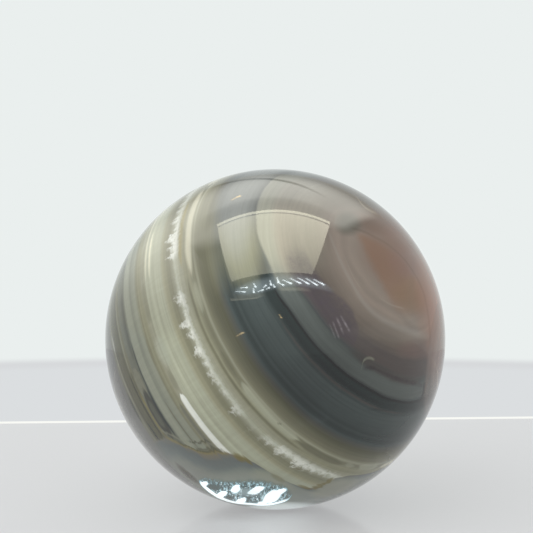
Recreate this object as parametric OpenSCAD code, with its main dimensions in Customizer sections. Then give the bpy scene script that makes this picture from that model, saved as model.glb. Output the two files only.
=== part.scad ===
// Polished agate sphere: one solid ball of banded stone, with no flat, hole or base.
// The bands are colour in the one solid. They lie across a slanting axis, from the
// grey skin of the nodule on one side to the warm quartz at its heart on the other.

/* [Ball] */
// Diameter of the polished ball
ball_d = 55; // [20:1:120]

/* [Hidden] */

$fn = 128;
ball_r = ball_d / 2;

// The axis that the bands lie across: leaned over from upright, then turned about it
axis_lean = 55;
axis_turn = -37;

// Each band: where it begins along the axis, as a share of the radius, and its colour.
// The last entry is the far end of the ball.
BANDS = [
    [-1.00, [0.66, 0.66, 0.60]],  // pale grey-cream skin
    [-0.62, [0.45, 0.47, 0.40]],  // green-grey, finely banded
    [-0.38, [0.63, 0.64, 0.58]],  // pale green-grey
    [-0.16, [0.90, 0.90, 0.86]],  // ragged white crystal line
    [-0.12, [0.55, 0.53, 0.46]],  // beige-grey
    [ 0.02, [0.84, 0.80, 0.66]],  // thin cream line
    [ 0.05, [0.33, 0.36, 0.35]],  // slate
    [ 0.48, [0.15, 0.16, 0.16]],  // thin black line
    [ 0.52, [0.46, 0.43, 0.40]],  // grey-brown
    [ 0.80, [0.56, 0.45, 0.37]],  // orange-brown heart
    [ 1.00, [0, 0, 0]]
];

// One coloured band of the ball, between two heights on the band axis
module band(low, high) {
    rotate_extrude()
        intersection() {
            circle(r = ball_r);
            translate([0, low * ball_r])
                square([ball_r + 1, (high - low) * ball_r]);
        }
}

module agate_ball() {
    rotate([0, axis_lean, axis_turn])
        for (i = [0 : len(BANDS) - 2])
            color(BANDS[i][1])
                band(BANDS[i][0], BANDS[i + 1][0]);
}

agate_ball();
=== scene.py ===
"""A polished agate sphere on a pale glossy shelf.

The CAD ball is replaced by a finer mesh of the same sphere. All of its look is one
node material, worked out in the stone's own space, so the bands run right round the
ball and through it as flat-lying sheets do in a real nodule.
"""
import math
import random

import bmesh
import bpy
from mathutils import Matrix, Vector


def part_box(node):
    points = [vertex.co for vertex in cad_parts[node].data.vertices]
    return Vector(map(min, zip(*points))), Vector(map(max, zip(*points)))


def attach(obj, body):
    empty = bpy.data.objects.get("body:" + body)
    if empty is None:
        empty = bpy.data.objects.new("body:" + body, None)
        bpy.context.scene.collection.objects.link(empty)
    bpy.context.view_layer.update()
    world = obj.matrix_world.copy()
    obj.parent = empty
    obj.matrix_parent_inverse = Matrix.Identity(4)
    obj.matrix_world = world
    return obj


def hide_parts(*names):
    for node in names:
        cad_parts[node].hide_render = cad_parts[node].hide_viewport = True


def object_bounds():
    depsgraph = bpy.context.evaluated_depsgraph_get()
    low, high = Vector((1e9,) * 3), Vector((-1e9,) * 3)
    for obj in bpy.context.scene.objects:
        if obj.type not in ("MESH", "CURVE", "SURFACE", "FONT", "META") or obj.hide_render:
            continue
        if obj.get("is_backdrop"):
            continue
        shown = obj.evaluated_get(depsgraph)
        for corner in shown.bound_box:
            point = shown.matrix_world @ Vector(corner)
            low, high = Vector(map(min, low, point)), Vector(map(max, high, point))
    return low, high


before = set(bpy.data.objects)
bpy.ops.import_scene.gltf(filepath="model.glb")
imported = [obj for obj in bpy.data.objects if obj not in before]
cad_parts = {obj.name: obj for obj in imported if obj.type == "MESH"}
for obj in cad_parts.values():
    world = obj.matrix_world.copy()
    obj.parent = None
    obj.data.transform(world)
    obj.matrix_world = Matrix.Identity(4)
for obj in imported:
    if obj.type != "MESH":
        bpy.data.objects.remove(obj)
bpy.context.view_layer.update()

NODE = "agate_ball"
BODY = "root"

low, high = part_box(NODE)
R = (high[0] - low[0]) / 2  # the ball's radius; its centre is the origin

# ---------------------------------------------------------------- camera's place
VIEW_UP = math.radians(9)  # the camera looks down on the ball by this much
VIEW_FAR = 10  # the camera's distance, in radii
FRAME_PX = 533  # the square picture's side
BALL_PX = (275.2, 338.6)  # the ball's centre in the picture
BALL_R_PX = 170  # the ball's radius in the picture
SENSOR = 36

X = Vector((1, 0, 0))
Y = Vector((0, 1, 0))
Z = Vector((0, 0, 1))
RIGHT = X  # the picture's right, its up, and towards its camera
UP = Vector((0, math.sin(VIEW_UP), math.cos(VIEW_UP)))
BACK = Vector((0, -math.cos(VIEW_UP), math.sin(VIEW_UP)))


def linear(r, g, b):
    """A screen colour, 0 to 255, as the linear colour that the shaders take."""
    def one(c):
        c /= 255
        return c / 12.92 if c <= 0.04045 else ((c + 0.055) / 1.055) ** 2.4
    return (one(r), one(g), one(b), 1)


# ---------------------------------------------------------------- node arithmetic
def sign(how, swapped=False):
    """The method that stands for an arithmetic sign between two values."""
    def method(self, other):
        pair = (other, self) if swapped else (self, other)
        return self.graph.math(how, *pair)
    return method


class Value:
    """A node's output that adds and multiplies as a number does."""

    def __init__(self, graph, socket):
        self.graph = graph
        self.socket = socket

    __add__ = sign("ADD")
    __radd__ = sign("ADD", swapped=True)
    __sub__ = sign("SUBTRACT")
    __rsub__ = sign("SUBTRACT", swapped=True)
    __mul__ = sign("MULTIPLY")
    __rmul__ = sign("MULTIPLY", swapped=True)
    __truediv__ = sign("DIVIDE")
    __pow__ = sign("POWER")

    def __abs__(self):
        return self.graph.math("ABSOLUTE", self)


class Graph:
    """Makes the nodes of one tree, in the order that they are worked out in."""

    def __init__(self, tree):
        self.tree = tree
        tree.nodes.clear()

    def node(self, kind, inputs=None, **settings):
        n = self.tree.nodes.new("ShaderNode" + kind)
        for key, value in settings.items():
            setattr(n, key, value)
        for key, value in (inputs or {}).items():
            self.feed(n.inputs[key], value)
        return n

    def feed(self, slot, value):
        if isinstance(value, Value):
            self.tree.links.new(value.socket, slot)
        else:
            slot.default_value = value

    def out(self, node, name=0):
        return Value(self, node.outputs[name])

    def math(self, how, *args):
        n = self.node("Math", operation=how)
        for slot, value in zip(n.inputs, args):
            self.feed(slot, value)
        return self.out(n)

    def object_place(self, scale=1.0):
        """The point in the object's own space, times a scale."""
        coordinates = self.node("TexCoord")
        n = self.node("VectorMath", {"Scale": scale}, operation="SCALE")
        self.tree.links.new(coordinates.outputs["Object"], n.inputs[0])
        return self.out(n, "Vector")

    def vector(self, x, y, z):
        return self.out(self.node("CombineXYZ", {0: x, 1: y, 2: z}))

    def along(self, v, direction):
        """How far v reaches along a fixed direction."""
        n = self.node("VectorMath", {0: v, 1: direction}, operation="DOT_PRODUCT")
        return self.out(n, "Value")

    def step(self, x, off, on):
        """0 at off and 1 at on, with a soft change between, whichever is the larger."""
        n = self.node("MapRange", {"Value": x, "From Min": off, "From Max": on},
                      interpolation_type="SMOOTHSTEP", clamp=False)
        return self.out(n)

    def ridge(self, x, middle, half):
        """1 at the middle and 0 from half that far on each side of it."""
        return self.step(abs(x - middle), half, 0)

    def span(self, x, start, end, soft):
        """1 between start and end, with soft ends."""
        return self.step(x, start - soft, start + soft) * self.step(x, end + soft, end - soft)

    def blot(self, x, y, centre, reach, soft=0.6):
        """1 in an oval round a centre, and 0 from its reach on."""
        far = ((x - centre[0]) * (1 / reach[0])) ** 2 + ((y - centre[1]) * (1 / reach[1])) ** 2
        return self.step(far, 1, 1 - soft)

    def noise(self, v, scale, detail, rough=0.5):
        n = self.node("TexNoise", {"Vector": v, "Scale": scale, "Detail": detail, "Roughness": rough})
        return self.out(n, "Fac")

    def mix(self, a, b, amount):
        n = self.node("Mix", data_type="RGBA")
        for key, value in (("Factor", amount), ("A", a), ("B", b)):
            slot = [s for s in n.inputs if s.name == key and s.enabled][0]
            self.feed(slot, value)
        return Value(self, [s for s in n.outputs if s.enabled][0])

    def curve(self, x, points, corners="AUTO_CLAMPED"):
        """The value on a smooth line through (x, value) points, or a straight one."""
        first, last = points[0][0], points[-1][0]
        least = min(value for _, value in points)
        most = max(value for _, value in points)
        n = self.node("FloatCurve", {"Value": (x - first) * (1 / (last - first))})
        line = n.mapping.curves[0].points
        spots = [((place - first) / (last - first), (value - least) / (most - least))
                 for place, value in points]
        line[0].location = spots[0]
        line[-1].location = spots[-1]
        for spot in spots[1:-1]:
            line.new(*spot)
        for mark in line:
            mark.handle_type = corners
        n.mapping.update()
        return self.out(n) * (most - least) + least

    def ramp(self, x, stops):
        """A colour for each place of x, from (place, colour) stops."""
        first, last = stops[0][0], stops[-1][0]
        n = self.node("ValToRGB", {"Fac": (x - first) * (1 / (last - first))})
        marks = n.color_ramp.elements
        while len(marks) < len(stops):
            marks.new(1)
        for mark, (place, colour) in zip(marks, stops):
            mark.position = (place - first) / (last - first)
            mark.color = colour
        return self.out(n, "Color")

    def table(self, x, stops, most=30):
        """As ramp, for more stops than one ramp node holds."""
        colour = self.ramp(x, stops[:most])
        for first in range(most - 1, len(stops) - 1, most - 1):
            part = stops[first:first + most]
            more = self.ramp(x, part)
            colour = self.mix(colour, more, self.step(x, part[0][0] - 1e-4, part[0][0] + 1e-4))
        return colour

    def plain_view(self):
        """1 for what the camera sees, straight, mirrored or through glass, and 0 for light."""
        path = self.node("LightPath")
        seen = self.out(path, "Is Camera Ray")
        for ray in ("Is Glossy Ray", "Is Transmission Ray"):
            seen = self.math("MAXIMUM", seen, self.out(path, ray))
        return seen

    def blend(self, first, second, amount):
        """The first shader, and the second as strongly as the amount says."""
        n = self.node("MixShader", {0: amount})
        self.tree.links.new(first.outputs[0], n.inputs[1])
        self.tree.links.new(second.outputs[0], n.inputs[2])
        return n

    def surface(self, shader, output="OutputMaterial"):
        self.tree.links.new(shader.outputs[0], self.node(output).inputs["Surface"])


def new_material(name):
    material = bpy.data.materials.new(name)
    material.use_nodes = True
    return material


# ---------------------------------------------------------------- the agate
# The bands lie across this axis, as sheets that fan out a little and bow at their ends.
# A place's depth runs along the axis, in radii, and its turn goes round it, in degrees:
# turn 0 faces the camera, and the turns below 0 lie above that and to the left.
BAND_AXIS = Vector((0.755, -0.36, 0.53))
FAN = Vector((-0.112, -0.2, 0.02))
BOW = 0.085
BOW_FAN = 0.12
POLISH_HAZE = 0.03  # what the polish adds to every colour
FRONT_EDGE = (0.02, 0.10)  # where the marks of the stone's front half begin, sharply
WRAP_EDGE = (-0.55, 0.15)  # and softly, so that they go on round its sides

AXIS = BAND_AXIS.normalized()
FRONT = (BACK - AXIS * BACK.dot(AXIS)).normalized()
SIDE = AXIS.cross(FRONT)

# The colours that the stone shows under its polish, 0 to 255
SKIN = (150, 150, 145)
BEIGE = (148, 148, 130)
CREAM = (162, 164, 145)
IVORY = (215, 212, 188)
WHITE = (222, 224, 216)
PALE = (142, 145, 131)
OLIVE = (118, 117, 99)
GOLD = (124, 114, 70)
SMOKE = (105, 106, 99)
SLATE = (80, 87, 86)
STEEL = (97, 102, 99)
INK = (48, 52, 53)
MAUVE = (99, 92, 89)
ROSE = (134, 123, 113)
MIST = (138, 142, 139)

# The stone's colour along the band axis, from the skin of the nodule to its heart:
# the depth, the colour and how light it is
BANDS = [
    (-1.00, SKIN, 1.00), (-0.89, SKIN, 0.93), (-0.87, SKIN, 0.82), (-0.845, SKIN, 0.72),
    (-0.82, SKIN, 0.74), (-0.78, SKIN, 0.68), (-0.73, SKIN, 0.70), (-0.705, BEIGE, 0.74),
    (-0.69, BEIGE, 0.79), (-0.675, OLIVE, 0.86), (-0.665, OLIVE, 0.79), (-0.65, OLIVE, 0.81),
    (-0.62, OLIVE, 0.83), (-0.605, OLIVE, 0.77), (-0.592, OLIVE, 0.82), (-0.58, OLIVE, 0.97),
    (-0.565, OLIVE, 0.95), (-0.54, PALE, 0.77), (-0.505, PALE, 0.76), (-0.485, PALE, 0.74),
    (-0.47, PALE, 0.78), (-0.455, PALE, 0.99), (-0.43, PALE, 1.02), (-0.40, PALE, 0.99),
    (-0.385, PALE, 0.89), (-0.36, PALE, 0.95), (-0.33, PALE, 0.99), (-0.305, OLIVE, 1.09),
    (-0.285, OLIVE, 1.18), (-0.258, OLIVE, 1.18), (-0.245, BEIGE, 1.00), (-0.21, BEIGE, 1.01),
    (-0.20, CREAM, 1.02), (-0.17, CREAM, 0.99), (-0.145, CREAM, 1.07), (-0.125, CREAM, 0.98),
    (-0.09, CREAM, 1.03), (-0.05, CREAM, 1.01), (-0.02, OLIVE, 1.27), (0.01, OLIVE, 1.14),
    (0.04, OLIVE, 1.08), (0.065, BEIGE, 0.98), (0.09, CREAM, 1.00), (0.115, BEIGE, 1.04),
    (0.14, BEIGE, 1.00), (0.16, OLIVE, 1.20), (0.175, OLIVE, 1.15), (0.19, OLIVE, 1.20),
    (0.215, OLIVE, 1.07), (0.235, OLIVE, 1.06), (0.25, BEIGE, 1.02), (0.262, OLIVE, 1.10),
    (0.28, OLIVE, 0.98), (0.32, OLIVE, 0.86), (0.35, OLIVE, 0.76), (0.38, SMOKE, 0.78),
    (0.405, SLATE, 0.92), (0.42, SLATE, 0.79), (0.438, SLATE, 0.76), (0.452, SLATE, 0.86),
    (0.468, SLATE, 0.79), (0.49, SLATE, 0.86), (0.55, SLATE, 0.92), (0.60, SLATE, 0.94),
    (0.62, SLATE, 0.85), (0.643, SLATE, 0.70), (0.665, SLATE, 0.70), (0.685, SLATE, 0.70),
    (0.70, SLATE, 0.84), (0.712, STEEL, 0.90), (0.75, STEEL, 0.94), (0.772, STEEL, 0.92),
    (0.785, STEEL, 0.82), (0.81, MAUVE, 0.88), (0.85, MAUVE, 0.92), (0.88, ROSE, 0.80),
    (0.90, ROSE, 0.86), (0.93, ROSE, 0.98), (0.953, ROSE, 1.08), (0.965, ROSE, 1.02),
    (0.976, ROSE, 1.07), (0.99, ROSE, 1.03), (1.01, ROSE, 1.00), (1.05, ROSE, 0.98),
]

# Marks that lie along the bands: the colour, how light it is, the depths and the turns
# that the mark lies between, how soft its edges and its ends are, and its strength
SKIN_MARKS = [
    (SMOKE, 0.66, (-0.722, -0.702), (-11, -2), 0.010, 5, 0.9),
    (SKIN, 1.06, (-0.70, -0.68), (-36, -30), 0.010, 3, 0.8),
    (BEIGE, 0.90, (-0.695, -0.682), (-28, -8), 0.006, 5, 0.7),
    (OLIVE, 0.73, (-0.671, -0.660), (-30, 0), 0.007, 3, 0.9),
    (SMOKE, 0.62, (-0.664, -0.648), (2, 9.5), 0.008, 3, 0.9),
    (OLIVE, 0.77, (-0.645, -0.612), (0, 9), 0.010, 2, 0.7),
    (OLIVE, 0.62, (-0.605, -0.594), (-17, 8), 0.007, 2, 1.0),
    (OLIVE, 0.79, (-0.607, -0.596), (-35, -17), 0.007, 4, 0.8),
    (BEIGE, 0.84, (-0.588, -0.572), (-46, -17), 0.006, 3, 0.8),
    (OLIVE, 0.78, (-0.585, -0.568), (-16, -6), 0.007, 2, 0.8),
    (GOLD, 1.06, (-0.577, -0.568), (-8, 7.5), 0.005, 3, 0.9),
    (BEIGE, 0.84, (-0.560, -0.490), (-16, -7), 0.008, 2, 0.8),
    (SMOKE, 0.72, (-0.560, -0.480), (-7, 9), 0.008, 5, 0.9),
    (PALE, 0.68, (-0.545, -0.505), (-4, 5.5), 0.008, 2, 0.8),
    (SMOKE, 0.88, (-0.507, -0.480), (-45, -22), 0.012, 5, 0.8),
    (INK, 1.35, (-0.477, -0.467), (-24, -5), 0.006, 5, 0.9),
    (INK, 1.30, (-0.490, -0.472), (-7, 9), 0.006, 4, 0.9),
]
PALE_MARKS = [
    (OLIVE, 0.90, (-0.388, -0.378), (0, 16), 0.005, 4, 0.7),
    (OLIVE, 1.00, (-0.320, -0.300), (-22, -14), 0.008, 3, 0.5),
    (SMOKE, 1.05, (-0.295, -0.262), (3, 21), 0.014, 2, 0.7),
    (PALE, 1.16, (-0.250, -0.150), (-20, -12), 0.030, 3, 0.6),
    (OLIVE, 0.98, (-0.245, -0.205), (-9, -2.5), 0.016, 3, 0.5),
    (OLIVE, 1.04, (-0.245, -0.208), (-40, -27.5), 0.014, 3, 0.6),
    (OLIVE, 1.10, (-0.250, -0.212), (-56, -42.5), 0.014, 4, 0.4),
    (WHITE, 0.99, (-0.245, -0.200), (0, 32), 0.006, 1.0, 1.0),
    (IVORY, 0.95, (-0.203, -0.188), (-85, -43), 0.010, 5, 0.7),
    (IVORY, 0.98, (-0.163, -0.146), (-60, -42), 0.010, 4, 0.8),
    (CREAM, 1.03, (-0.150, -0.128), (-5, 6), 0.010, 3, 0.6),
]
CREAM_MARKS = [
    (BEIGE, 1.05, (0.115, 0.145), (-34, 22), 0.012, 4, 0.5),
    (GOLD, 1.18, (0.125, 0.155), (-66, -40), 0.014, 5, 0.6),
    (OLIVE, 0.93, (0.163, 0.180), (-30, 34), 0.008, 5, 0.7),
    (IVORY, 0.93, (0.185, 0.232), (-72, -36), 0.014, 7, 0.85),
    (CREAM, 1.08, (0.192, 0.240), (-29, -21), 0.020, 4, 0.5),
    (OLIVE, 0.95, (0.195, 0.235), (-5, 3), 0.016, 3, 0.5),
    (CREAM, 1.02, (0.193, 0.242), (7, 32), 0.012, 2.5, 0.85),
    (OLIVE, 1.05, (0.215, 0.240), (23.5, 24.3), 0.004, 0.5, 0.6),
    (OLIVE, 0.88, (0.190, 0.242), (35, 52), 0.014, 4, 0.7),
    (CREAM, 0.95, (0.200, 0.242), (55.5, 58.5), 0.012, 2, 0.6),
    (CREAM, 0.98, (0.200, 0.255), (62.5, 71.5), 0.012, 2, 0.7),
]
# Round the back, which the marks above don't reach, stretches of colour are drawn at random
BACK_TURNS = (76, 284)
BACK_SEED = 11
BACK_BANDS = ((-0.245, -0.205), (-0.165, -0.145), (0.192, 0.240))
BACK_COLOURS = [(IVORY, 0.95), (CREAM, 1.08), (OLIVE, 0.88)]
BACK_RUN = (6, 26)  # how many degrees a stretch and a gap last
BACK_REST = (4, 20)

# The white crystals grow out of their band as teeth: the turn, the depth that the tip
# reaches and half the tooth's width
TEETH = [
    (-51, 0.015, 3), (-47.5, 0.035, 3), (-43, 0.03, 1.6), (-27.5, 0.045, 2), (-19, 0.02, 2.2),
    (-14.5, 0.05, 1.5), (-9, 0.035, 1.4), (-5, 0.07, 2.5), (-1, 0.05, 1.4), (1.5, 0.055, 1.4),
    (6, 0.075, 2), (12.5, 0.025, 2), (20, 0.03, 1.4), (24, 0.035, 1.3), (27, 0.045, 1.5),
    (32, 0.045, 2), (34.5, 0.06, 2), (40, 0.035, 2.4), (43, 0.055, 2.4), (47, 0.075, 2.5),
]
TEETH_TURNS = (-62, 62)  # past these turns, the teeth follow no list
TEETH_ROOT = 0.098  # the depth of the gaps between the teeth
BACK_TEETH = (0.60, 0.110)  # at the back: the strength, and where the white ends
TEETH_SPANS = [  # turns, strength, and the depth the white ends at
    (-52, -43, 0.95, 0.112), (-41, -31, 0.25, 0.100), (-28, -23, 0.90, 0.112),
    (-22, -6, 0.80, 0.103), (-3, 13, 0.56, 0.100), (17, 24, 0.12, 0.090),
    (25, 30, 0.50, 0.100), (31, 37.5, 0.80, 0.118), (38, 53.5, 0.86, 0.120),
]


def shown(colour, light=1.0):
    """The stone's own colour, from the colour that it shows under the polish."""
    seen = linear(*(c * light for c in colour))
    return tuple(max(0.004, c - POLISH_HAZE) for c in seen[:3]) + (1,)


MARK_SIZES = ("Depth", "Turn", "Low", "High", "Edge", "Start", "End", "Ends", "Strength")


def mark_tree():
    """The node group that lays one mark's colour over another."""
    tree = bpy.data.node_groups.new("mark", "ShaderNodeTree")
    for name in MARK_SIZES:
        tree.interface.new_socket(name, in_out="INPUT", socket_type="NodeSocketFloat")
    for name in ("Under", "Colour"):
        tree.interface.new_socket(name, in_out="INPUT", socket_type="NodeSocketColor")
    tree.interface.new_socket("Result", in_out="OUTPUT", socket_type="NodeSocketColor")
    g = Graph(tree)
    given = tree.nodes.new("NodeGroupInput")
    depth, turn, low_depth, high_depth, edge, start, end, ends, strength = (
        g.out(given, name) for name in MARK_SIZES)
    within = g.span(turn, start, end, ends)
    half = (high_depth - low_depth) * 0.5
    beyond = abs(depth - (low_depth + half)) - half * within
    mask = g.step(beyond, edge, edge * -1) * g.step(within, 0, 0.5) * strength
    result = g.mix(g.out(given, "Under"), g.out(given, "Colour"), mask)
    tree.links.new(result.socket, tree.nodes.new("NodeGroupOutput").inputs["Result"])
    return tree


class Agate(Graph):
    """The stone's colour as it is laid on, and where each place of the stone lies."""

    def __init__(self, tree):
        super().__init__(tree)
        self.mark_tree = mark_tree()
        self.p = self.object_place(1 / R)
        self.across = self.along(self.p, RIGHT)
        self.up = self.along(self.p, UP)
        self.front = self.step(self.along(self.p, BACK), *FRONT_EDGE)
        self.wrap = self.step(self.along(self.p, BACK), *WRAP_EDGE)
        sideways = self.along(self.p, SIDE)
        forward = self.along(self.p, FRONT)
        bow = sideways * sideways
        depth = self.along(self.p, BAND_AXIS) / (1 - self.along(self.p, FAN))
        depth = depth * (1 + BOW_FAN * bow) - BOW * bow
        out = self.math("SQRT", bow + forward * forward)
        turn = self.math("ARCTAN2", sideways, forward) * math.degrees(1)
        self.ring_x = forward / out
        self.ring_y = sideways / out
        self.plain_depth = depth
        wave = self.noise(self.vector(self.ring_x, self.ring_y, depth * 0.35), 5, 3) - 0.5
        lean = self.curve(turn, HEART_LEAN) * self.span(depth, 0.60, 0.86, 0.08)
        lean = lean + self.curve(turn, RING_LEAN) * self.step(depth, 0.86, 0.93)
        self.depth = depth + wave * 0.010 + lean
        hairs = self.noise(self.vector(self.ring_x, self.ring_y, depth * 22), 2.2, 4, 0.7) - 0.5
        self.turn = turn + wave * 2 + hairs * 5
        self.colour = self.table(self.depth, [(d, shown(c, light)) for d, c, light in BANDS])

    def lay(self, colour, mask, light=1.0):
        """Lays a colour over what is there, as strongly as the mask says."""
        self.colour = self.mix(self.colour, shown(colour, light), mask)

    def trace(self, points, half, upright, ends):
        """A thin line on the front, through (right, up) places, and half its width, in radii."""
        path = sorted((up, right) if upright else (right, up) for right, up in points)
        place, other = (self.up, self.across) if upright else (self.across, self.up)
        off = other - self.curve(place, path)
        return self.ridge(off, 0, half) * self.span(place, path[0][0], path[-1][0], ends) * self.front

    def stroke(self, start, end, half):
        """A short straight scratch on the front, between two (right, up) places."""
        run = math.dist(start, end)
        way = ((end[0] - start[0]) / run, (end[1] - start[1]) / run)
        right, up = self.across - start[0], self.up - start[1]
        along = right * way[0] + up * way[1]
        off = up * way[0] - right * way[1]
        return self.ridge(off, 0, half) * self.span(along, 0, run, 0.015) * self.front

    def clouds(self, x, y, rows, soft):
        """Lays ovals of colour: the colour, how light, the middle, the reach and the strength."""
        for colour, light, middle, reach, strength in rows:
            self.lay(colour, self.blot(x, y, middle, reach, soft) * strength, light)

    def marks(self, rows):
        """Lays rows as in SKIN_MARKS."""
        for colour, light, depths, turns, edge, ends, strength in rows:
            sizes = (self.depth, self.turn, *depths, edge, *turns, ends, strength)
            n = self.node("Group", node_tree=self.mark_tree)
            for name, size in zip(MARK_SIZES, sizes):
                self.feed(n.inputs[name], size)
            self.feed(n.inputs["Under"], self.colour)
            self.feed(n.inputs["Colour"], shown(colour, light))
            self.colour = self.out(n, "Result")


def back_rows():
    """Short cream and dark stretches along the lighter bands, at the back of the ball."""
    rng = random.Random(BACK_SEED)
    rows = []
    for depths in BACK_BANDS:
        turn = BACK_TURNS[0]
        while turn < BACK_TURNS[1]:
            end = turn + rng.uniform(*BACK_RUN)
            colour, light = rng.choice(BACK_COLOURS)
            shift = 360 if turn > 180 else 0
            rows.append((colour, light, depths, (turn - shift, end - shift), 0.014, 3, 0.7))
            turn = end + rng.uniform(*BACK_REST)
    return rows


def teeth_line():
    """The line of the front teeth's tips: the turn, and how far a tooth stands up there."""
    line = [(TEETH_TURNS[0], 0.0)]
    for turn, tip, half in TEETH:
        left = max(turn - half, line[-1][0] + 0.2)
        line += [(left, 0.0), (max(turn, left + 0.2), TEETH_ROOT - tip), (turn + half, 0.0)]
    return line + [(TEETH_TURNS[1], 0.0)]


def lay_teeth(g):
    """A row of white crystal teeth, pointing at the skin."""
    rag = g.noise(g.vector(g.ring_x, g.ring_y, g.plain_depth * 0.8), 34, 3, 0.65) - 0.5
    clump = g.noise(g.p, 42, 3, 0.6) - 0.5
    ring = g.vector(g.ring_x, g.ring_y, 0.0)
    height = g.noise(ring, 18, 3, 0.7) * 0.30 - 0.135
    front = g.span(g.turn, TEETH_TURNS[0] + 4, TEETH_TURNS[1] - 4, 3)
    height = height * (1 - front * 0.9)
    height = g.math("MAXIMUM", height, g.curve(g.turn + rag * 5, teeth_line(), "VECTOR"))
    tips = g.depth + height + rag * 0.035 + clump * 0.055
    rises = g.step(tips, TEETH_ROOT - 0.036, TEETH_ROOT + 0.016)
    spans = [(-180, *BACK_TEETH), (-66, *BACK_TEETH)]
    for start, end, strength, foot in TEETH_SPANS:
        spans += [(start, strength, foot), (end, strength, foot)]
    spans += [(60, 0.40, 0.105), (76, 0.55, 0.110), (180, *BACK_TEETH)]
    strength = g.curve(g.turn, [(turn, strong) for turn, strong, foot in spans], "VECTOR")
    foot = g.curve(g.turn, [(turn, foot) for turn, strong, foot in spans], "VECTOR")
    sinks = g.step(g.depth - foot + rag * 0.05 + clump * 0.04, 0.026, -0.018)
    fluff = g.step(rag + clump, -0.25, 0.12) * 0.5 + 0.5
    g.lay(WHITE, rises * sinks * strength * fluff, 0.99)


# The bands end at the edge of a smooth cap of clear grey stone, low on the ball. Its
# near edge and its far edge: the depth, and the turn that the edge lies at there
CAP_NEAR = [
    (-0.75, 9), (-0.60, 9.5), (-0.56, 10), (-0.50, 13), (-0.45, 16), (-0.40, 18.5),
    (-0.36, 20), (-0.25, 22), (-0.20, 24.3), (-0.17, 26.5), (-0.14, 28.5), (-0.12, 33),
    (-0.105, 43), (-0.09, 51), (-0.06, 55), (0.02, 57), (0.08, 57.5), (0.12, 60),
    (0.15, 66), (0.17, 76), (0.18, 92),
]
CAP_FAR = [(-0.75, 150), (-0.40, 138), (-0.10, 122), (0.10, 108), (0.18, 92)]
# Its colour by how far inside its near edge a place lies, in degrees of turn
CAP_COLOURS = [
    (0, (122, 117, 104)), (3, (107, 112, 110)), (8, (114, 121, 119)), (14, (134, 137, 130)),
    (22, (141, 144, 137)), (34, (148, 152, 146)), (42, (160, 164, 158)), (60, (150, 154, 151)),
    (90, (132, 136, 134)), (120, (136, 140, 136)),
]
CAP_EDGE_SOFT = 0.8  # how soft its near edge is, in degrees
CAP_DEPTHS = ((0.185, 0.170), (-0.80, -0.66))
# Lines along its near edge: colour, how light, how far inside the edge and half the width
# (both in degrees), the depths it lies between, and the strength
CAP_LINES = [
    (GOLD, 1.12, 0.3, 1.5, (-0.57, -0.22), 0.55), (BEIGE, 0.95, -2.8, 1.2, (-0.575, -0.42), 0.5),
    (OLIVE, 0.78, -1.2, 1.0, (-0.40, -0.23), 0.7), (OLIVE, 0.72, -0.2, 0.9, (-0.50, -0.24), 0.7),
    (OLIVE, 0.72, -4.2, 0.8, (-0.41, -0.26), 0.7),
]
STAINS = [  # middle and reach, as turn and depth
    ((26.8, -0.178), (3.0, 0.034)), ((29, -0.150), (3.0, 0.02)), ((42, -0.118), (4.0, 0.030)),
    ((56, -0.03), (2.0, 0.06)), ((56.5, 0.04), (1.6, 0.05)), ((52, -0.085), (4, 0.02)),
]
CAP_CLOUDS = [  # colour, how light, middle, reach and strength
    ((84, 79, 68), 1.00, (29, -0.67), (9, 0.045), 0.8),
    ((170, 170, 154), 1.00, (64, -0.02), (11, 0.18), 0.7),
    ((160, 160, 138), 1.00, (42, -0.17), (10, 0.11), 0.6),
    *[(GOLD, 0.96, middle, reach, 0.75) for middle, reach in STAINS],
]


def lay_cap(g):
    """The clear grey cap that cuts the bands off, and the stains along its edge."""
    inside = g.turn - g.curve(g.depth, CAP_NEAR)
    outline = g.step(inside, -CAP_EDGE_SOFT, CAP_EDGE_SOFT)
    outline = outline * g.step(g.curve(g.depth, CAP_FAR) - g.turn, -2, 2)
    for edge in CAP_DEPTHS:
        outline = outline * g.step(g.depth, *edge)
    cloud = g.noise(g.p, 4, 3) - 0.5
    stops = [(place, shown(colour)) for place, colour in CAP_COLOURS]
    clear = g.ramp(inside + cloud * 12, stops)
    g.colour = g.mix(g.colour, clear, outline)
    for colour, light, middle, half, depths, strength in CAP_LINES:
        g.lay(colour, g.ridge(inside, middle, half) * g.span(g.depth, *depths, 0.02) * strength, light)
    g.clouds(g.turn, g.depth, CAP_CLOUDS, 0.9)


# Painted light: the bright patch near the cap's bottom stands in for light that the clear cap gathers and
# bends. It is painted into the stone's colour and made to glow. Places on it are given by how far right
# and how far up they lie as the camera sees them, in radii.
PATCH_FOOT = [
    (-0.44, -0.800), (-0.40, -0.854), (-0.36, -0.892), (-0.31, -0.925), (-0.23, -0.948),
    (-0.13, -0.952), (-0.08, -0.955), (-0.03, -0.950), (0.03, -0.933), (0.07, -0.915),
    (0.095, -0.880),
]
PATCH_HEAD = [
    (-0.44, -0.800), (-0.39, -0.785), (-0.25, -0.797), (-0.17, -0.790), (-0.11, -0.785),
    (-0.03, -0.800), (0.05, -0.820), (0.095, -0.865),
]
PATCH_RIM = [(-0.44, 0.008), (-0.40, 0.022), (-0.33, 0.020), (-0.25, 0.011), (-0.12, 0.008),
             (0.03, 0.008), (0.095, 0.005)]
PATCH_BLOBS = [  # right, up, and the reach each way
    (-0.303, -0.885, 0.040, 0.028), (-0.220, -0.842, 0.036, 0.034), (-0.195, -0.925, 0.042, 0.028),
    (-0.108, -0.848, 0.062, 0.026), (-0.018, -0.890, 0.064, 0.054), (-0.075, -0.936, 0.056, 0.022),
    (0.030, -0.852, 0.052, 0.024), (-0.400, -0.822, 0.030, 0.022),
]
PATCH_GAPS = [(-0.345, -0.835, 0.060, 0.022), (-0.158, -0.880, 0.034, 0.060),
              (-0.262, -0.905, 0.024, 0.030)]
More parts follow.
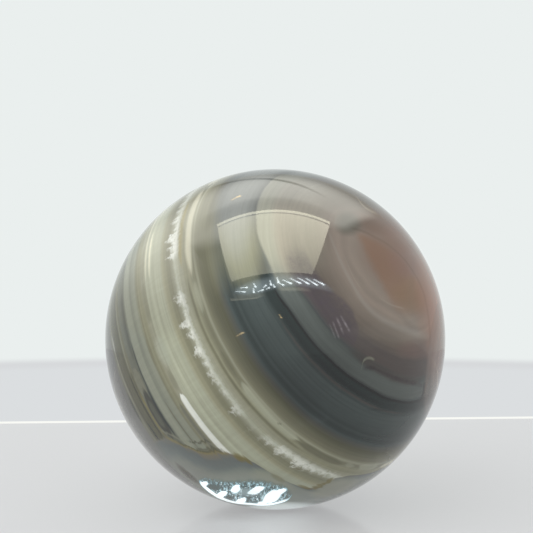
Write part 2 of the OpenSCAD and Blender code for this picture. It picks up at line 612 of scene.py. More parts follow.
PATCH_SIDES = ((-0.437, -0.413), (0.13, 0.03))
PATCH_SLANT = 0.45  # how steeply its blobs lean
PATCH_WHITE = (254, 255, 255)
PATCH_BLUE = (150, 200, 216)
PATCH_DARK = (84, 102, 104)
# Painted glow: the patch gives off this light, though the stone is no lamp.
PAINTED_PATCH_GLOW = (0.52, 0.57, 0.58, 1)  # the light that comes out of the stone there
NO_GLOW = (0, 0, 0, 1)
# Painted light round it, softer: colour, middle, reach and strength
PAINTED_HALO = ((152, 158, 148), (-0.15, -0.86), (0.36, 0.17), 0.8)
# Painted highlights: one along the bottom rim, and one at the patch's tail.
PAINTED_FOOT_SHINE = ((204, 212, 208), (0.04, -0.975), (0.26, 0.06), 0.7)
PAINTED_TAIL_SHINE = ((184, 206, 212), (-0.155, -0.860), (0.10, 0.036), 0.7)


def front_blot(g, middle, reach):
    return g.blot(g.across, g.up, middle, reach, 1.0) * g.front


def painted_patch_shine(g, ragged):
    """How bright the patch's painted light is: fine streaks and sparks, dark gaps and bright slanted
    blobs.
    """
    streaks = g.noise(g.vector(g.across * 2 - g.up, g.up * 0.8 + g.across, 0.0), 30, 5, 0.8)
    shine = g.step(streaks, 0.40, 0.66) * 0.62
    sparks = g.noise(g.vector(g.across * 1.5 - g.up, g.up * 1.2 + g.across, 0.5), 75, 2, 0.6)
    shine = g.math("MAXIMUM", shine, g.step(sparks, 0.60, 0.72))
    for right, up, wide, tall in PATCH_GAPS:
        gap = g.blot(g.across + ragged * 0.05, g.up, (right, up), (wide, tall), 0.8)
        shine = shine * (1 - gap * 0.8)
    for right, up, wide, tall in PATCH_BLOBS:
        slanted = g.up - (g.across - right) * PATCH_SLANT
        blob = g.blot(g.across + ragged * 0.04, slanted + ragged * 0.035, (right, up), (wide, tall), 0.7)
        shine = g.math("MAXIMUM", shine, blob)
    return shine


# Paints the patch of gathered light, the light round it and the highlight along the foot into the colour,
# and sets their painted glow.
def lay_painted_patch(g):
    ragged = g.noise(g.p, 30, 4, 0.7) - 0.5
    above = g.up - g.curve(g.across, PATCH_FOOT)
    below = g.curve(g.across, PATCH_HEAD) - g.up
    inside = g.step(above, -0.006, 0.006) * g.step(below + ragged * 0.05, -0.020, 0.025)
    for side in PATCH_SIDES:
        inside = inside * g.step(g.across, *side)
    inside = inside * g.front
    rim = g.step(abs(above - 0.008) - g.curve(g.across, PATCH_RIM), 0.006, -0.004)
    shine = g.math("MAXIMUM", painted_patch_shine(g, ragged), rim) * inside
    for colour, middle, reach, strength in (PAINTED_HALO, PAINTED_FOOT_SHINE):
        g.lay(colour, front_blot(g, middle, reach) * strength)
    g.lay(PATCH_DARK, inside * 0.8)
    g.lay(PATCH_BLUE, g.step(shine, 0.05, 0.55))
    g.lay(PATCH_WHITE, g.step(shine, 0.45, 0.95))
    colour, middle, reach, strength = PAINTED_TAIL_SHINE
    g.lay(colour, front_blot(g, middle, reach) * strength)
    foot = front_blot(g, *PAINTED_FOOT_SHINE[1:3]) * 0.45
    lit = g.math("MAXIMUM", g.step(shine, 0.15, 0.95), foot)
    g.glow = g.mix(NO_GLOW, PAINTED_PATCH_GLOW, lit)


# Bands that line the nodule's side wall, cut as rings round this direction
WALL = Vector((0.97, -0.216, -0.087)).normalized()
WALL_EDGE = (0.938, 0.948)  # where they fade in
WALL_STRENGTH = 0.5
WALL_BANDS = [
    (0.935, (106, 94, 88)), (0.9445, (104, 92, 86)), (0.948, (118, 106, 100)),
    (0.955, (124, 112, 106)), (0.963, (114, 103, 97)), (0.970, (126, 115, 108)),
    (0.978, (132, 122, 113)), (0.984, (116, 103, 95)), (0.989, (132, 118, 108)),
    (0.995, (120, 98, 84)), (1.000, (104, 84, 72)),
]
WALL_WARMTH = [  # colour, middle, reach and strength
    ((128, 98, 80), (0.66, 0.50), (0.24, 0.25), 0.55), ((150, 102, 76), (0.88, 0.24), (0.13, 0.36), 0.40),
]


def lay_warmth(g, rows):
    """Soft clouds of colour on the front, which go on round the sides."""
    for colour, middle, reach, strength in rows:
        g.lay(colour, g.blot(g.across, g.up, middle, reach, 1.0) * g.wrap * strength)


def lay_wall(g):
    wobble = g.noise(g.p, 3, 2) - 0.5
    reach = g.along(g.p, WALL) + wobble * 0.006
    rings = g.ramp(reach, [(place, shown(colour)) for place, colour in WALL_BANDS])
    g.colour = g.mix(g.colour, rings, g.step(reach, *WALL_EDGE) * WALL_STRENGTH)
    lay_warmth(g, WALL_WARMTH)


# The dark bands near the heart lean over as they go round, and so do the rings inside
# them: turn, and the shift in depth
HEART_LEAN = [(-180, 0.0), (-70, 0.040), (-45, 0.028), (-14, 0.018), (6, 0.0), (28, 0.0), (50, 0.013),
              (75, 0.033), (100, 0.040), (180, 0.0)]
RING_LEAN = [(-180, 0.0), (20, 0.0), (43, 0.020), (68, 0.050), (90, 0.055), (180, 0.0)]
# A thin dark line that leaves the bands and joins them again: turn and depth
BRANCH = [(44, 0.600), (54, 0.632), (62, 0.645), (70, 0.636), (78, 0.618)]
HEART_MARKS = [
    (INK, 0.70, (0.686, 0.697), (-14, 82), 0.004, 6, 1.0),
    ((100, 82, 78), 1.00, (0.700, 0.706), (-10, 60), 0.005, 10, 0.15),
    ((98, 84, 80), 1.00, (0.622, 0.632), (0, 60), 0.008, 12, 0.35),
    (SLATE, 0.84, (0.512, 0.518), (-16, 60), 0.005, 10, 0.5),
    (SLATE, 0.78, (0.608, 0.613), (-12, 70), 0.004, 10, 0.5),
    (SLATE, 0.80, (0.440, 0.446), (-28, 60), 0.005, 10, 0.6),
    (INK, 1.00, (0.648, 0.662), (-4, 46), 0.010, 12, 0.6),
    (SLATE, 0.80, (0.466, 0.472), (-20, 70), 0.006, 10, 0.6),
    (SLATE, 0.80, (0.560, 0.566), (-12, 40), 0.006, 8, 0.4),
    (MAUVE, 0.80, (0.770, 0.798), (24, 66), 0.012, 8, 0.7),
    (INK, 1.45, (0.786, 0.792), (-10, 22), 0.004, 6, 0.5),
]
# The dark mauve cloud that ends in a clean curve: turn, and the depth of its far edge
MAUVE_CLOUD = (86, 78, 84)
MAUVE_EDGE = [(-34, 0.862), (-5, 0.886), (5.4, 0.902), (13.5, 0.885), (18, 0.857), (22, 0.800)]
# Lines on the front, through (right, up) places
CRACK_HIGH = [
    (0.424, 0.610), (0.486, 0.595), (0.554, 0.564), (0.617, 0.532), (0.675, 0.489),
    (0.727, 0.440), (0.773, 0.379),
]
CRACK_LOW = [
    (0.773, 0.379), (0.814, 0.307), (0.842, 0.228), (0.859, 0.133), (0.870, 0.020),
    (0.871, -0.092), (0.867, -0.188), (0.845, -0.279), (0.829, -0.335),
]
HOOK = [(0.838, -0.245), (0.836, -0.29), (0.815, -0.345)]
BRIGHT_RING = [
    (0.300, 0.560), (0.356, 0.415), (0.415, 0.300), (0.469, 0.209), (0.535, 0.139), (0.626, 0.085),
    (0.726, 0.047), (0.850, 0.015),
]
FINE_RINGS = [
    [(0.384, 0.430), (0.421, 0.339), (0.470, 0.262)], [(0.496, 0.430), (0.503, 0.380)],
    [(0.575, 0.218), (0.639, 0.184), (0.700, 0.168)],
]
TOP_STREAK = [(0.466, 0.807), (0.492, 0.762), (0.525, 0.733), (0.572, 0.712)]
# Each line's colour, places, half its width, whether it stands upright, how soft its ends
# are, and its strength
FRONT_LINES = [
    ((152, 147, 140), BRIGHT_RING, 0.034, False, 0.06, 0.40),
    *[((160, 152, 140), ring, 0.009, False, 0.02, 0.30) for ring in FINE_RINGS],
    ((92, 80, 70), CRACK_HIGH, 0.014, False, 0.02, 0.40),
    ((104, 84, 74), CRACK_LOW, 0.012, True, 0.08, 0.40),
    (INK, HOOK, 0.012, True, 0.02, 0.8),
    ((188, 178, 160), TOP_STREAK, 0.014, False, 0.02, 0.35),
]
SCRATCH_PALE = (168, 160, 164)
SCRATCHES = [  # from, to and half the width
    ((0.309, 0.089), (0.342, 0.003), 0.009), ((0.331, 0.110), (0.364, 0.030), 0.010),
    ((0.353, 0.121), (0.396, 0.046), 0.010), ((0.293, 0.073), (0.320, 0.009), 0.008),
    ((0.372, 0.085), (0.398, 0.040), 0.008),
]
# A chip's pale arc, and the dark dust to the right of it
ARC = [(0.468, -0.148), (0.474, -0.124), (0.486, -0.110), (0.508, -0.104), (0.534, -0.112)]
ARC_SHADE = [(0.480, -0.160), (0.520, -0.158), (0.560, -0.176), (0.620, -0.200), (0.720, -0.236),
             (0.830, -0.262)]
ARC_DUST = (66, 60, 62)
AMBER = (138, 110, 91)
AMBER_FOOT = (0.10, 0.27)  # the heights between which the amber fades in
AMBER_EDGE = (0.722, -0.47)  # its left edge: how far right at height 0, and its slope
HEART_CLOUDS = [  # colour, middle, reach and strength
    ((134, 108, 84), (0.76, 0.24), (0.15, 0.14), 0.6), ((138, 110, 104), (0.74, 0.44), (0.14, 0.12), 0.6),
    ((112, 92, 88), (0.80, -0.06), (0.17, 0.07), 0.5), ((92, 86, 74), (0.44, 0.80), (0.26, 0.16), 0.65),
    ((120, 112, 104), (0.62, 0.04), (0.26, 0.06), 0.4), ((152, 122, 108), (0.90, 0.36), (0.14, 0.28), 0.6),
    ((100, 76, 60), (0.60, 0.66), (0.24, 0.10), 0.7), ((88, 88, 78), (0.40, 0.64), (0.10, 0.09), 0.8),
    ((150, 112, 98), (0.93, 0.05), (0.10, 0.42), 0.7),
    ((122, 92, 80), (0.72, 0.58), (0.14, 0.12), 0.6),
]


def lay_heart(g):
    """The rings at the middle of the bands, and the marks on their front."""
    g.marks(HEART_MARKS)
    branch = g.curve(g.turn, BRANCH)
    along = g.span(g.turn, 46, 76, 3)
    g.lay(SLATE, g.ridge(g.depth - branch, 0, 0.012) * along * 0.6, 0.74)
    edge = g.curve(g.turn, MAUVE_EDGE)
    mottle = g.noise(g.p, 26, 4, 0.7) - 0.5
    cloud = g.step(g.depth - edge + mottle * 0.010, 0.006, -0.010) * g.step(g.depth, 0.775, 0.815)
    g.lay(MAUVE_CLOUD, cloud * g.span(g.turn, -28, 21, 5) * (mottle * 1.2 + 0.55))
    crack = g.curve(g.across, CRACK_HIGH) - g.up
    left = g.across - (g.up * AMBER_EDGE[1] + AMBER_EDGE[0])
    amber = g.step(left + mottle * 0.03, -0.030, 0.035) * g.step(g.up, *AMBER_FOOT) * g.wrap
    g.lay(AMBER, amber * g.step(crack, -0.01, 0.05) * 0.8)
    lay_warmth(g, HEART_CLOUDS)
    for colour, places, half, upright, ends, strength in FRONT_LINES:
        g.lay(colour, g.trace(places, half, upright, ends) * strength)
    for start, end, half in SCRATCHES:
        g.lay(SCRATCH_PALE, g.stroke(start, end, half) * (mottle * 1.2 + 0.22))
    g.lay(ARC_DUST, g.trace(ARC_SHADE, 0.022, False, 0.015) * (mottle * 1.6 + 0.55))
    g.lay(CREAM, g.trace(ARC, 0.013, False, 0.010) * 0.45, 0.92)


# Clouds in the bands at the upper left, with middles and reaches as depths and turns: one that lies under
# the pale band, which is painted light that makes the upper left paler, and those over it
PAINTED_LIGHT_CLOUD = [((118, 118, 96), 1.00, (0.56, -36), (0.16, 20), 0.75)]
CLOUDS = [
    (OLIVE, 1.00, (0.34, -46), (0.13, 28), 0.9), (MIST, 0.92, (0.54, -66), (0.19, 42), 0.9),
    ((100, 101, 90), 1.00, (0.42, -35), (0.08, 18), 0.5), (SMOKE, 1.10, (0.80, -74), (0.12, 26), 0.5),
]
# Painted light and shade: how the stone is made lighter or darker as it goes round the front, most of all
# lighter towards the upper left where the light falls, as turn and gain: the dark bands, the rest of them
# towards the rim and at the front, and the skin
PAINTED_LIGHT_DRIFT = [(-180, 0.05), (-66, 0.05), (-50, 0.15), (-38, 0.45), (-26, 0.62), (-12, 0.48), (-3, 0.18),
         (8, 0.0), (18, -0.14), (30, -0.05), (42, 0.06), (65, 0.12), (180, 0.05)]
RIM_PAINTED_LIGHT_DRIFT = [(-180, 0.05), (-80, 0.45), (-60, 0.36), (-46, 0.10), (-36, 0.0), (180, 0.05)]
RIM_SHARE = [  # how much of RIM_PAINTED_LIGHT_DRIFT each depth takes
    (-1.1, 0.0), (-0.75, 0.0), (-0.68, 1.0), (-0.12, 1.0), (-0.04, 0.35), (0.12, 0.35),
    (0.20, 0.2), (0.27, 1.0), (0.32, 1.0), (0.36, 0.0), (1.1, 0.0),
]
FRONT_PAINTED_LIGHT_DRIFT = [(-180, 0.0), (-42, 0.0), (-28, -0.06), (-12, 0.13), (0, 0.11), (14, 0.02), (180, 0.0)]
SKIN_PAINTED_LIGHT_DRIFT = [(-180, 0.1), (-60, 0.0), (-30, 0.0), (-14, -0.08), (0, 0.16), (18, 0.20), (180, 0.1)]
# Painted light: the bottom of the ball is made lighter.
FOOT_PAINTED_LIGHT = (-0.72, -0.97, 0.40)  # heights between which the stone lightens, and the gain
GRAIN = [  # depth, and how strong the finest banding is there
    (-1, 0.25), (-0.45, 0.45), (0.30, 0.50), (0.70, 0.60), (0.84, 0.50), (0.93, 0.25), (1.05, 0.15),
]

# The pale band at the upper left: its crisp near edge, its faint far edge, its turns, and
# the turns over which its near edge leans away and how far
PALE_BAND = ((0.674, 0.690), (0.95, 0.84), (-82, -20))
PALE_LEAN = (-46, -22, 0.035)
PALE_NEAR = (140, 140, 126)
PALE_FAR = (134, 124, 112)
PALE_CHANGE = (0.74, 0.79)  # the depths over which its colour changes


def lay_clouds(g):
    near, far, turns = PALE_BAND
    g.clouds(g.depth, g.turn, PAINTED_LIGHT_CLOUD, 0.9)
    lean = g.step(g.turn, *PALE_LEAN[:2]) * PALE_LEAN[2]
    band = g.step(g.depth - lean, *near) * g.step(g.depth, *far) * g.span(g.turn, *turns, 10)
    g.lay(PALE_NEAR, band * 0.85)
    g.lay(PALE_FAR, band * g.step(g.depth, *PALE_CHANGE) * 0.6)
    g.clouds(g.depth, g.turn, CLOUDS, 1.0)


def lay_grain(g):
    """Hair-fine banding, fibres across the bands and a slow cloudiness, with painted light and shade: the
    stone made lighter or darker as it goes round, and lighter at its bottom.
    """
    fine = g.noise(g.vector(g.ring_x, g.ring_y, g.plain_depth * 48), 1.4, 4, 0.65) - 0.5
    light = fine * g.curve(g.depth, GRAIN) + 1
    fibre = g.noise(g.vector(g.ring_x, g.ring_y, g.plain_depth * 0.10), 46, 3, 0.6) - 0.5
    light = light + fibre * g.span(g.depth, -0.62, 0.20, 0.08) * 0.22
    cloud = g.noise(g.p, 2.2, 3) - 0.5
    light = light + cloud * 0.14
    # Painted light and shade: gains by turn that make the stone lighter towards the upper left and darker
    # elsewhere, and then lighter at its bottom.
    light = light + g.curve(g.turn, PAINTED_LIGHT_DRIFT) * g.span(g.depth, 0.35, 0.80, 0.04)
    light = light + g.curve(g.turn, RIM_PAINTED_LIGHT_DRIFT) * g.curve(g.depth, RIM_SHARE)
    light = light + g.curve(g.turn, FRONT_PAINTED_LIGHT_DRIFT) * g.span(g.depth, -0.25, 0.19, 0.03)
    light = light + (g.noise(g.p, 7, 4, 0.6) - 0.5) * g.step(g.depth, -0.76, -0.90) * 0.7
    light = light + g.curve(g.turn, SKIN_PAINTED_LIGHT_DRIFT) * g.step(g.depth, -0.68, -0.74)
    light = light + g.step(g.up, *FOOT_PAINTED_LIGHT[:2]) * FOOT_PAINTED_LIGHT[2]
    g.colour = g.out(g.node("HueSaturation", {"Color": g.colour, "Value": light}))


def agate():
    material = new_material("banded_agate")
    g = Agate(material.node_tree)
    g.marks(SKIN_MARKS + PALE_MARKS + CREAM_MARKS + back_rows())
    lay_teeth(g)
    lay_clouds(g)
    lay_heart(g)
    lay_grain(g)
    lay_cap(g)
    lay_wall(g)
    lay_painted_patch(g)
    polish = g.noise(g.p, 9, 3) * 0.03 + 0.02
    # The emission carries the patch's painted glow.
    g.surface(g.node("BsdfPrincipled", {"Base Color": g.colour, "Roughness": polish, "IOR": 1.54,
                                        "Emission Color": g.glow, "Emission Strength": 1.0}))
    return material


# ---------------------------------------------------------------- the ball's mesh
CELLS = 96  # faces along each side of the cube it is blown up from
ATLAS = (3, 2)  # the six sides' places in the texture map
ATLAS_GAP = 0.01


def ball_mesh(name):
    """A cube's six sides, blown up to a sphere of nearly even square faces."""
    bm = bmesh.new()
    bmesh.ops.create_cube(bm, size=2)
    bmesh.ops.subdivide_edges(bm, edges=bm.edges[:], cuts=CELLS - 1, use_grid_fill=True)
    uv = bm.loops.layers.uv.new("OFBake")
    for face in bm.faces:
        face.smooth = True
        n = face.calc_center_median()
        axis = max(range(3), key=lambda i: abs(n[i]))
        side = axis * 2 + (n[axis] > 0)
        column, row = side % ATLAS[0], side // ATLAS[0]
        across, upward = [i for i in range(3) if i != axis]
        for loop in face.loops:
            a = (loop.vert.co[across] + 1) / 2
            b = (loop.vert.co[upward] + 1) / 2
            if n[axis] < 0:
                a = 1 - a
            a = ATLAS_GAP + a * (1 - 2 * ATLAS_GAP)
            b = ATLAS_GAP + b * (1 - 2 * ATLAS_GAP)
            loop[uv].uv = ((column + a) / ATLAS[0], (row + b) / ATLAS[1])
    for vert in bm.verts:
        even = Vector([math.tan(c * math.pi / 4) for c in vert.co])
        vert.co = even.normalized() * R
    bmesh.ops.recalc_face_normals(bm, faces=bm.faces[:])
    mesh = bpy.data.meshes.new(name)
    bm.to_mesh(mesh)
    bm.free()
    return mesh


def add(name, mesh, material):
    piece = bpy.data.objects.new(name, mesh)
    bpy.context.collection.objects.link(piece)
    mesh.materials.append(material)
    return piece


ball = add("polished_ball", ball_mesh("polished_ball"), agate())
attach(ball, BODY)
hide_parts(NODE)

# ---------------------------------------------------------------- stage
FLOOR_Z = -R
SHELF_BACK = 2.489 * R  # where its back edge passes behind the ball
SHELF_SLANT = 0.0523  # how much the back edge turns away to the right
SHELF_SIDE = 40 * R
SHELF_FRONT = -30 * R
SHELF_LIGHT = linear(221, 222, 223)
SHELF_DARK = tuple(c * 0.97 for c in SHELF_LIGHT[:3]) + (1,)
SHELF_ROUGH = 0.12
SHELF_SHADE = linear(217, 218, 219)
SHELF_GLOW = 0.5  # the share of the camera's view that is plain brightness
# Painted highlight: a glowing strip stands in for light catching the shelf's back edge.
EDGE_HIGHLIGHT = linear(250, 251, 246)
EDGE_WIDE = 0.075 * R
EDGE_RISE = 0.00005  # how far the bright edge lies above the shelf


def shelf_material():
    """Pale glossy plastic. Half of what the camera sees of it is plain brightness, as with
    the backdrop, and the rest is lit, so that it keeps the shadow."""
    material = new_material("shelf_white")
    g = Graph(material.node_tree)
    grain = g.noise(g.object_place(), 40, 3)
    shade = g.mix(SHELF_DARK, SHELF_LIGHT, grain)
    lit = g.node("BsdfPrincipled", {"Base Color": shade, "Roughness": SHELF_ROUGH})
    plain = g.node("Emission", {"Color": SHELF_SHADE, "Strength": 1.0})
    g.surface(g.blend(lit, plain, g.plain_view() * SHELF_GLOW))
    return material


# The shelf edge's glow is a painted highlight.
def edge_highlight_material():
    material = new_material("edge_lit")
    g = Graph(material.node_tree)
    g.surface(g.node("Emission", {"Color": EDGE_HIGHLIGHT, "Strength": 1.0}))
    return material


def sheet(name, corners, material):
    """A flat four-sided stage piece."""
    mesh = bpy.data.meshes.new(name)
    mesh.from_pydata(corners, [], [(0, 1, 2, 3)])
    piece = add(name, mesh, material)
    piece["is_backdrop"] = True
    return piece


left_back = SHELF_BACK - SHELF_SIDE * SHELF_SLANT
right_back = SHELF_BACK + SHELF_SIDE * SHELF_SLANT


def shelf_strip(name, left_front, right_front, rise, material):
    """A sheet that ends at the shelf's back edge."""
    z = FLOOR_Z + rise
    sheet(name, [(-SHELF_SIDE, left_front, z), (SHELF_SIDE, right_front, z),
                 (SHELF_SIDE, right_back, z), (-SHELF_SIDE, left_back, z)], material)


shelf_strip("shelf", SHELF_FRONT, SHELF_FRONT, 0, shelf_material())
shelf_strip("shelf_edge", left_back - EDGE_WIDE, right_back - EDGE_WIDE, EDGE_RISE, edge_highlight_material())

# ---------------------------------------------------------------- world
BACKDROP_TOP = linear(234, 239, 238)
# Painted shade: the backdrop darkens in a band along its crease.
BACKDROP_CREASE_SHADE = linear(215, 217, 219)
BACKDROP_LOW = linear(219, 222, 224)
CREASE = (-0.1655, -0.1700, -0.1740)  # how steeply a view falls above, at and below the crease
BACKDROP_LEVEL = 0.84  # how bright the backdrop is beside the cards
ROOM_LIGHT = 0.80


def studio_world():
    """A plain white room that lights the stage. What the camera sees of it is the backdrop."""
    world = bpy.data.worlds.new("studio")
    world.use_nodes = True
    g = Graph(world.node_tree)
    seen = g.plain_view()
    falls = g.along(g.out(g.node("TexCoord"), "Generated"), Z)
    above, crease, below = CREASE
    shade = g.mix(BACKDROP_TOP, BACKDROP_CREASE_SHADE, g.step(falls, above, crease))
    shade = g.mix(shade, BACKDROP_LOW, g.step(falls, crease, below))
    room = g.node("Background", {"Color": (1, 1, 1, 1), "Strength": ROOM_LIGHT})
    backdrop = g.node("Background", {"Color": shade, "Strength": 1.0})
    g.surface(g.blend(room, backdrop, seen), "OutputWorld")
    return world


bpy.context.scene.world = studio_world()

# ---------------------------------------------------------------- lamps
# A soft key from the upper left lights the stone. The ceiling, the left wall, the softbox
# and the strip of small lamps under it only show as reflections in the polish. Their places
# are in metres from the ball's centre.
KEY_TOWARD = Vector((-0.55, -0.50, 0.72)).normalized()
KEY_FAR = 0.9
KEY_SIZE = 0.9
KEY_LEVEL = 1.1  # its brightness, where a lit white wall is 1

lamp = bpy.data.lights.new("key", "AREA")
lamp.shape = "SQUARE"
lamp.size = KEY_SIZE
lamp.energy = KEY_LEVEL * math.pi * KEY_SIZE * KEY_SIZE
key = bpy.data.objects.new("key", lamp)
bpy.context.collection.objects.link(key)
key.location = KEY_TOWARD * KEY_FAR
key.rotation_mode = "QUATERNION"
key.rotation_quaternion = KEY_TOWARD.to_track_quat("Z", "Y")
key.visible_camera = False
key.visible_glossy = False

# ---------------------------------------------------------------- cards
FEATHER = "feather"


def even(level):
    """A slope, as glow takes it, that is level."""
    return (X, (-1, level), (1, level))


def glow(name, colour, slope, fades=(), feathered=False):
    """A glowing material. The slope is an axis, then a place and the level there, twice.
    Towards the first place of each fade it turns clear. A feathered one is also as clear
    as its mesh says."""
    material = new_material(name)
    g = Graph(material.node_tree)
    place = g.object_place()
    axis, (start, first), (end, last) = slope
    level = g.step(g.along(place, axis), start, end) * (last - first) + first
    solid = 1.0
    if feathered:
        solid = g.out(g.node("Attribute", attribute_name=FEATHER), "Fac")
    for axis, gone, full in fades:
        solid = solid * g.step(g.along(place, axis), gone, full)
    light = g.node("Emission", {"Color": colour, "Strength": level})
    g.surface(g.blend(g.node("BsdfTransparent"), light, solid))
    return material


def reflected_only(piece):
    piece.visible_camera = False
    piece.visible_diffuse = False
    piece.visible_shadow = False
    piece.visible_transmission = False


def flat_card(name, places, height, material):
    """A glowing level sheet that shows in reflections only."""
    reflected_only(sheet(name, [(x, y, height) for x, y in places], material))


ACROSS_WIDE = (0.0, 0.8, 1.0, 0.8, 0.0)
ACROSS_FINE = (0.0, 1.0, 0.0)


def soft_card(name, strips, height, glow_name, colour, slope, across=ACROSS_WIDE):
    """Glowing strips that each pass through rows of (one side, other side, strength) and
    fade out at both sides."""
    corners, feather, faces = [], [], []
    count = len(across)
    for rows in strips:
        base = len(corners)
        for (x0, y0), (x1, y1), strength in rows:
            for i, share in enumerate(across):
                t = i / (count - 1)
                corners.append((x0 + (x1 - x0) * t, y0 + (y1 - y0) * t, height))
                feather.append(share * strength)
        for row in range(len(rows) - 1):
            for i in range(count - 1):
                a = base + row * count + i
                faces.append((a, a + 1, a + count + 1, a + count))
    mesh = bpy.data.meshes.new(name)
    mesh.from_pydata(corners, [], faces)
    layer = mesh.attributes.new(FEATHER, "FLOAT", "POINT")
    layer.data.foreach_set("value", feather)
    piece = add(name, mesh, glow(glow_name, colour, slope, feathered=True))
    piece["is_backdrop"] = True
    reflected_only(piece)


PLAIN_WHITE = (1.0, 1.0, 0.93, 1)
WARM_WHITE = (1.0, 0.98, 0.80, 1)
COOL_WHITE = (0.80, 0.95, 1.0, 1)
LAMP_WHITE = (0.86, 0.96, 1.0, 1)
GLINT_GOLD = (1.0, 0.74, 0.38, 1)

# The ceiling behind the softbox, which fades out along its sides
CEILING = 0.66
CEILING_BACK = [(-0.60, -0.12), (0.45, 0.02), (0.90, 1.4), (-0.60, 1.4)]
CEILING_SLOPE = (Y, (0.30, 3.3), (1.25, BACKDROP_LEVEL))
SLANTED = Vector((1, -0.29, 0)).normalized()
TILTED = Vector((0.5, 1, 0)).normalized()
RIGHT_FOOT = Vector((-0.3, 1, 0)).normalized()
CEILING_FADES = [(SLANTED, 0.41, 0.32), (TILTED, -0.31, -0.12), (RIGHT_FOOT, -0.05, 0.09)]
flat_card("ceiling_back", CEILING_BACK, CEILING,
          glow("ceiling_glow", PLAIN_WHITE, CEILING_SLOPE, CEILING_FADES))

# The softbox, and the brighter edge behind it
SOFTBOX_Z = CEILING - 0.01
SOFTBOX = [(-0.424, -0.557), (0.328, -0.478), (0.315, 0.100), (-0.340, 0.092)]
SOFTBOX_SLOPE = (Y, (-0.45, 3.8), (0.10, 6.6))
SOFTBOX_EDGE = [(-0.340, 0.104), (0.315, 0.113), (0.312, 0.142), (-0.340, 0.134)]
flat_card("softbox", SOFTBOX, SOFTBOX_Z, glow("softbox_glow", WARM_WHITE, SOFTBOX_SLOPE))
flat_card("softbox_edge", SOFTBOX_EDGE, SOFTBOX_Z, glow("softbox_edge_glow", WARM_WHITE, even(7.6)))

# The wall at the left
WALL_X = -0.60
WALL_FRONT = -0.90
WALL_BACK = 1.4
WALL_SLOPE = (Z, (0.0, BACKDROP_LEVEL), (0.55, 3.0))
WALL_TOP = Vector((0, 1, -1)).normalized()
WALL_FADES = [(Y, -0.85, -0.45), (Y, 1.3, 0.1), (WALL_TOP, -0.70, -0.25)]
reflected_only(sheet("left_wall", [(WALL_X, WALL_FRONT, 0), (WALL_X, WALL_BACK, 0),
                                   (WALL_X, WALL_BACK, CEILING), (WALL_X, WALL_FRONT, CEILING)],
                     glow("left_wall_glow", PLAIN_WHITE, WALL_SLOPE, WALL_FADES)))

# Two dim strips on the ceiling: a seam far behind the ball, and the shade above the softbox
SEAM = [((-0.45, 1.36), (-0.45, 1.66), 0.2), ((-0.128, 0.92), (-0.128, 1.10), 0.75),
        ((0.048, 0.69), (0.048, 0.83), 0.8), ((0.184, 0.545), (0.184, 0.630), 0.4),
        ((0.28, 0.47), (0.28, 0.52), 0.0)]
ABOVE_BOX = [((-0.46, 0.36), (-0.46, 0.10), 0.1), ((-0.25, 0.36), (-0.25, 0.08), 0.40),
             ((0.10, 0.33), (0.10, 0.08), 0.40), ((0.34, 0.30), (0.34, 0.08), 0.2)]
soft_card("ceiling_shades", [SEAM, ABOVE_BOX], CEILING - 0.005, "shade_glow", PLAIN_WHITE, even(0.3))

# A bowed strip of small lamps hangs in front of the softbox: each one's streak, from its
# first end to its last
STRIP_Z = 0.62
LAMPS = [
    (-0.430, -0.694, -0.322, -0.732), (-0.217, -0.681, -0.229, -0.762),
    (-0.193, -0.754, -0.120, -0.723), (-0.094, -0.720, -0.056, -0.690),
    (-0.021, -0.637, -0.005, -0.687), (0.035, -0.622, 0.086, -0.656),
    (-0.355, -0.651, -0.276, -0.662), (-0.202, -0.605, -0.193, -0.672),
    (-0.121, -0.693, -0.085, -0.653), (-0.046, -0.579, -0.039, -0.655),
    (0.015, -0.541, 0.031, -0.619), (0.062, -0.572, 0.150, -0.622),
    (0.126, -0.548, 0.236, -0.604), (0.192, -0.530, 0.318, -0.594),
    (0.262, -0.520, 0.405, -0.586), (0.336, -0.516, 0.475, -0.556),
]
HEAD_HALF = 0.014
TAIL_HALF = 0.010
TAIL_LEVEL = 0.55
STREAK_ROWS = [  # the share of its length, half its width and its strength
    (0, TAIL_HALF, 0), (0.12, TAIL_HALF, TAIL_LEVEL), (0.55, TAIL_HALF, TAIL_LEVEL),
    (0.8, HEAD_HALF, 1), (1.0, HEAD_HALF, 0.9), (1.12, HEAD_HALF, 0),
]


def streak(x0, y0, x1, y1, wide=1.0):
    """A streak of light from a faint tail to a bright head."""
    run = math.hypot(x1 - x0, y1 - y0)
    side_x, side_y = (y0 - y1) / run, (x1 - x0) / run
    rows = []
    for t, half, strength in STREAK_ROWS:
        x, y = x0 + (x1 - x0) * t, y0 + (y1 - y0) * t
        out_x, out_y = side_x * half * wide, side_y * half * wide
        one_side = (x - out_x, y - out_y)
        other_side = (x + out_x, y + out_y)
        rows.append((one_side, other_side, strength))
    return rows


soft_card("strip_lamps", [streak(*ends) for ends in LAMPS], STRIP_Z,
          "lamp_glow", LAMP_WHITE, even(30), ACROSS_FINE)

# The lamps' haze
HAZE = [((-0.43, -0.650), (-0.50, -0.743), 0.0), ((-0.36, -0.620), (-0.43, -0.790), 0.55),
        ((-0.289, -0.590), (-0.344, -0.820), 0.75), ((-0.154, -0.550), (-0.190, -0.815), 1.0),
        ((-0.028, -0.520), (-0.055, -0.765), 0.65), ((0.083, -0.500), (0.078, -0.715), 0.6),
        ((0.194, -0.485), (0.207, -0.685), 0.6), ((0.325, -0.490), (0.346, -0.680), 0.6),
        ((0.493, -0.525), (0.501, -0.660), 0.5), ((0.664, -0.586), (0.683, -0.666), 0.0)]
HAZE_SLOPE = (X, (-0.5, 4.6), (0.6, 4.2))
soft_card("strip_haze", [HAZE], STRIP_Z + 0.01, "haze_glow", COOL_WHITE, HAZE_SLOPE)

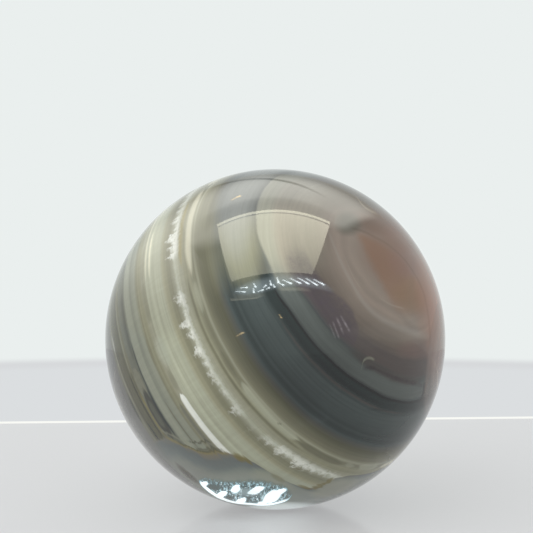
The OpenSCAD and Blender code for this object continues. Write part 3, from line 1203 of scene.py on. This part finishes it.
# Three warm glints from further off in the room, as with the lamps, and how wide each is
GLINTS = [(-0.223, 0.385, -0.172, 0.419, 1.3), (0.064, -1.390, 0.119, -1.566, 1.9),
          (-1.670, -3.459, -1.057, -2.761, 6.0)]
soft_card("room_glints", [streak(*glint) for glint in GLINTS], CEILING - 0.02,
          "glint_glow", GLINT_GOLD, even(11), ACROSS_FINE)

# Pale trims in front of the lamps: a bright line, and the fainter ledges at its left and right
TRIM_LINE = [((-0.590, -0.850), (-0.610, -0.925), 0.0), ((-0.560, -0.862), (-0.590, -0.930), 0.9),
             ((-0.40, -0.895), (-0.41, -0.950), 1.0), ((-0.235, -0.895), (-0.244, -0.950), 1.0),
             ((-0.09, -0.825), (-0.10, -0.880), 0.0)]
TRIM_LEFT = [((-0.52, -0.76), (-0.58, -0.90), 0.0), ((-0.42, -0.79), (-0.44, -0.92), 0.45),
             ((-0.20, -0.80), (-0.22, -0.92), 0.45), ((-0.10, -0.78), (-0.11, -0.86), 0.0)]
TRIM_RIGHT = [((0.01, -0.735), (0.01, -0.800), 0.0), ((0.09, -0.722), (0.09, -0.800), 0.7),
              ((0.30, -0.695), (0.31, -0.775), 0.6), ((0.42, -0.700), (0.43, -0.760), 0.0)]
soft_card("strip_trims", [TRIM_LINE, TRIM_LEFT, TRIM_RIGHT], CEILING,
          "trim_glow", WARM_WHITE, even(3.4))

# ---------------------------------------------------------------- camera
camera_data = bpy.data.cameras.new("camera")
camera_data.sensor_width = SENSOR
focal_px = BALL_R_PX / math.tan(math.asin(1 / VIEW_FAR))
camera_data.lens = focal_px / FRAME_PX * SENSOR
camera_data.clip_start = R
camera_data.clip_end = 1000 * R
camera = bpy.data.objects.new("camera", camera_data)
bpy.context.collection.objects.link(camera)
bpy.context.scene.camera = camera
right_px = FRAME_PX / 2 - BALL_PX[0]
down_px = BALL_PX[1] - FRAME_PX / 2
aim = BACK - RIGHT * (right_px / focal_px) - UP * (down_px / focal_px)
camera.location = BACK * (VIEW_FAR * R)
camera.rotation_mode = "QUATERNION"
camera.rotation_quaternion = aim.to_track_quat("Z", "Y")

bpy.context.scene.view_settings.view_transform = "Standard"

low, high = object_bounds()
